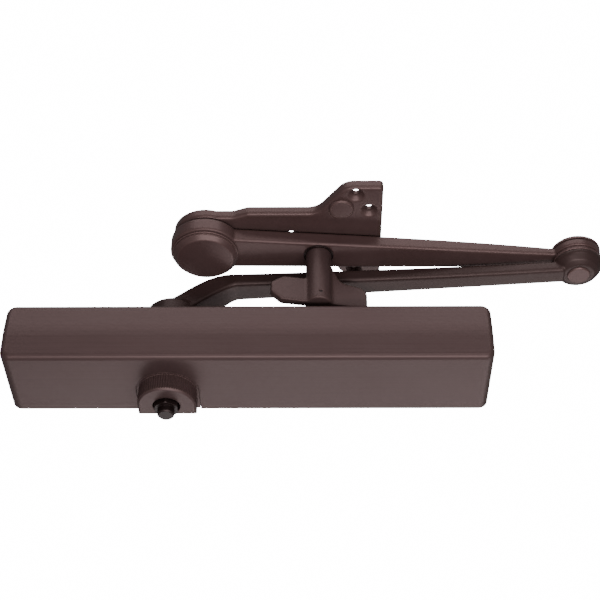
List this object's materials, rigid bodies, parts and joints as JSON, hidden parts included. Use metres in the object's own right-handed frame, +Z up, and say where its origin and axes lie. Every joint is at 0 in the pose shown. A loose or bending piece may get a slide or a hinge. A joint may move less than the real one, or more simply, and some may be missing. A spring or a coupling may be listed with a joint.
{
  "type": "door closer",
  "caption": "Surface door closer with a boxed cover, a forged two-piece parallel arm, a soffit shoe and a hold-open turn handle.",
  "frame": {"origin": "on the door's face, behind the middle of the cover's length and height", "axes": "+X along the door towards the elbow, +Y into the door, +Z up"},
  "size_m": [0.4289, 0.1063, 0.1456],
  "materials": {
    "cover_paint": "dark bronze paint with a fine horizontal brushed grain",
    "arm_paint": "dark bronze satin paint over forged steel",
    "cast_body": "as-cast grey iron, sprayed dark",
    "dark_steel": "blackened steel",
    "bright_steel": "ground steel, oiled",
    "bush_bronze": "sintered bronze",
    "valve_brass": "turned brass",
    "seal_rubber": "black nitrile rubber"
  },
  "bodies": {
    "closer": {"housing": "cast_body", "cover": "cover_paint", "cover_clips": "bright_steel", "blind_end_plug": "bright_steel", "spring_end_plug": "bright_steel", "end_plug_seals": "seal_rubber", "spring_seat": "bright_steel", "upper_bearing_cap": "cover_paint", "lower_bearing_cap": "cover_paint", "shaft_seals": "seal_rubber", "bearing_shells": "bright_steel", "bearing_needles": "bright_steel", "valve_seals": "seal_rubber", "filler_plug": "bright_steel", "main_spring": "bright_steel"},
    "arm": {"pinion": "dark_steel", "bearing_sleeves": "bright_steel", "main_arm": "arm_paint", "arm_washer": "bright_steel", "arm_screw": "dark_steel", "elbow_pin": "arm_paint", "elbow_washers": "arm_paint", "elbow_top_washer": "arm_paint"},
    "piston": {"piston": "bright_steel", "piston_rings": "seal_rubber", "check_ball": "bright_steel", "check_ball_clip": "bright_steel"},
    "forearm": {"forearm": "arm_paint", "elbow_bush": "bush_bronze", "pivot_bush": "bush_bronze", "plunger_spring": "bright_steel"},
    "shoe": {"soffit_shoe": "arm_paint", "stop_stud": "arm_paint", "pivot_pin": "bright_steel", "pivot_ring": "dark_steel", "pivot_cap": "arm_paint", "pivot_washer": "arm_paint"},
    "handle": {"hold_open_handle": "arm_paint", "handle_pin": "dark_steel", "handle_ring": "dark_steel"},
    "plunger": {"hold_open_plunger": "bright_steel"},
    "sweep_valve": {"sweep_valve": "valve_brass"},
    "latch_valve": {"latch_valve": "valve_brass"},
    "backcheck_valve": {"backcheck_valve": "valve_brass"},
    "power_screw": {"power_screw": "bright_steel"}
  },
  "joints": [
    {"name": "pinion_turn", "type": "hinge", "parent": "closer", "child": "arm", "pos_m": [-0.057, -0.0208, 0.04], "axis": [0, 0, 1], "range_deg": [-165, 0], "stiffness_Nm_per_rad": 4, "springref_deg": 20.05},
    {"name": "piston_slide", "type": "slide", "parent": "closer", "child": "piston", "axis": [1, 0, 0], "range_m": [0, 0.0303], "deforming": ["main_spring"]},
    {"name": "elbow_turn", "type": "hinge", "parent": "arm", "child": "forearm", "pos_m": [0.2405, -0.0395, 0.08], "axis": [0, 0, 1], "range_deg": [0, 100]},
    {"name": "shoe_pivot", "type": "hinge", "parent": "forearm", "child": "shoe", "pos_m": [-0.0335, -0.0518, 0.09], "axis": [0, 0, 1], "range_deg": [-115, 10]},
    {"name": "handle_turn", "type": "hinge", "parent": "forearm", "child": "handle", "pos_m": [0.0496, -0.0493, 0.05], "axis": [0, 0, 1], "range_deg": [0, 90]},
    {"name": "plunger_lift", "type": "slide", "parent": "forearm", "child": "plunger", "axis": [0, 0, 1], "range_m": [0, 0.00121], "deforming": ["plunger_spring"]},
    {"name": "sweep_valve_turn", "type": "hinge", "parent": "closer", "child": "sweep_valve", "pos_m": [-0.008, -0.045, 0], "axis": [0, -1, 0], "range_deg": [-360, 360]},
    {"name": "latch_valve_turn", "type": "hinge", "parent": "closer", "child": "latch_valve", "pos_m": [0.013, -0.045, 0], "axis": [0, -1, 0], "range_deg": [-360, 360]},
    {"name": "backcheck_valve_turn", "type": "hinge", "parent": "closer", "child": "backcheck_valve", "pos_m": [0.034, -0.045, 0], "axis": [0, -1, 0], "range_deg": [-360, 360]},
    {"name": "power_screw_turn", "type": "hinge", "parent": "closer", "child": "power_screw", "pos_m": [0.13, -0.0208, 0], "axis": [1, 0, 0], "range_deg": [-360, 360]}
  ],
  "couplings": [
    {"joint": "piston_slide", "follows": "pinion_turn", "m_per_rad": -0.0105},
    {"joint": "plunger_lift", "follows": "handle_turn", "m_per_rad": 0.00076394}
  ]
}
